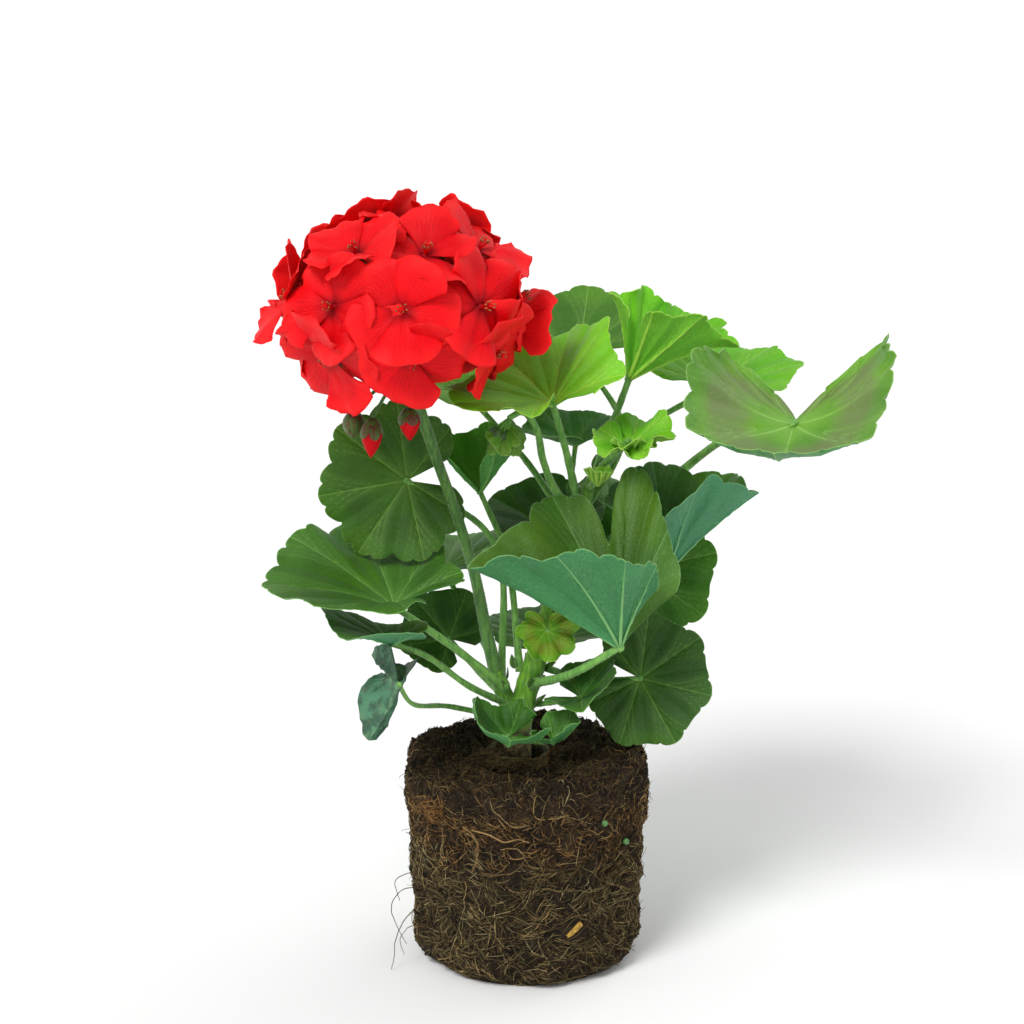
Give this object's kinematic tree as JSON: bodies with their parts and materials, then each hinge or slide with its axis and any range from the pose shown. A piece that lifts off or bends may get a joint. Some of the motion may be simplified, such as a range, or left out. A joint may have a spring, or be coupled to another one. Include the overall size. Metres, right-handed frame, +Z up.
{
  "type": "zonal geranium plant in bloom with bare root ball",
  "caption": "Upright bedding geranium with scalloped leaves, a domed red flower head on a tall stalk, nodding buds, and a bare tapered root ball that it stands on",
  "frame": {"origin": "Centre of the root ball's flat bottom, on the surface that the plant stands on", "axes": "+Z up along the stem's general direction, +X to the right and +Y to the back as seen from the picture's side"},
  "size_m": [0.2722, 0.2022, 0.3469],
  "materials": {
    "peat": "damp fibrous peat, matt",
    "peat_sleeve": "mossy peat, matt",
    "pellet": "satin",
    "wood_chip": "raw",
    "stem": "fleshy, downy",
    "leaf_dark": "satin, downy",
    "leaf_mid": "satin, downy",
    "leaf_light": "satin, downy",
    "leaf_underside": "matt, downy",
    "leaf_dry": "dry, matt",
    "petal": "velvety",
    "bud": "downy"
  },
  "bodies": {
    "root": {"root_ball": "peat", "plug_sleeve": "peat_sleeve", "pellet_1": "pellet", "pellet_2": "pellet", "wood_chip": "wood_chip", "stem": "stem", "leaf_front_funnel": "leaf_underside", "leaf_left_fan": "leaf_mid", "leaf_right_funnel": "leaf_underside", "leaf_left_low": "leaf_underside", "leaf_withered": "leaf_dry", "leaf_left_back": "leaf_dark", "leaf_base_cup": "leaf_mid", "leaf_base_small": "leaf_underside", "leaf_young_low": "leaf_light", "leaf_right_small": "leaf_dark", "leaf_right_round": "leaf_dark", "leaf_right_mid": "leaf_mid", "leaf_right_saddle": "leaf_mid", "leaf_high_right": "leaf_light", "leaf_umbrella": "leaf_light", "leaf_bright_fan": "leaf_light", "leaf_pale_mid": "leaf_mid", "leaf_high_back": "leaf_mid", "leaf_under_head": "leaf_dark", "leaf_behind_head": "leaf_underside", "leaf_mid_back": "leaf_dark", "leaf_back_left": "leaf_mid", "leaf_back_low": "leaf_mid", "leaf_back_right": "leaf_mid", "leaf_back_high": "leaf_light", "flower_stalk": "stem", "flower_head": "petal", "red_bud_1": "petal", "red_bud_2": "petal", "young_leaves_high": "leaf_light", "young_leaves_tip": "leaf_light", "nodding_buds": "bud"}
  },
  "joints": []
}
